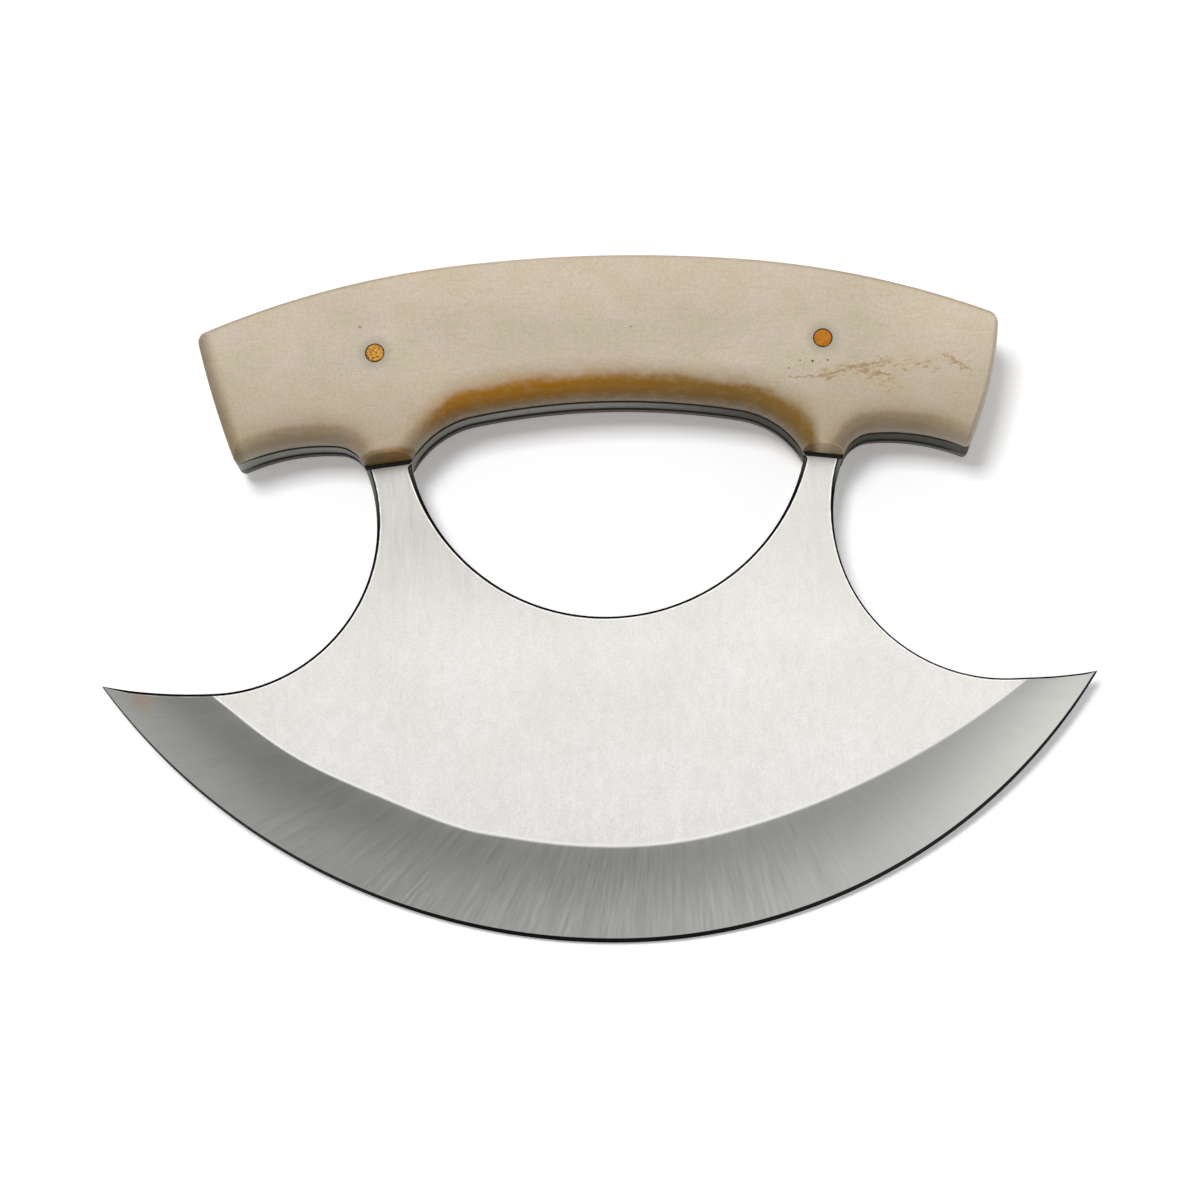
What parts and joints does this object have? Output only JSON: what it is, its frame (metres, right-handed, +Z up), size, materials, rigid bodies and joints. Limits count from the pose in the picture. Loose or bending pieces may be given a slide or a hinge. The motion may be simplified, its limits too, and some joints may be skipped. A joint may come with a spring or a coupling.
{
  "type": "ulu knife",
  "caption": "Ulu knife: crescent blade, legs and full tang cut from one steel plate, with bone handle scales glued and pinned on and a finger opening under the handle.",
  "frame": {"origin": "middle of the bottom of the bounding box, with the knife lying on a table on its rear grind line and on the neck ends of its rear scale", "axes": "+X along the handle, to the right when the front scale is seen with the handle on top; +Y from the cutting edge towards the handle; +Z up, out of the front scale"},
  "size_m": [0.166, 0.1156, 0.0188],
  "materials": {
    "steel": "flats brushed across the blade, bevels ground",
    "bone": "polished bone, stained brown along its lower edges",
    "brass": "sanded flush, slightly tarnished",
    "epoxy": "dark cured epoxy"
  },
  "bodies": {
    "root": {"blade_plate": "steel", "front_scale": "bone", "rear_scale": "bone", "left_pin": "brass", "right_pin": "brass", "front_glue_bed": "epoxy", "rear_glue_bed": "epoxy"}
  },
  "joints": []
}
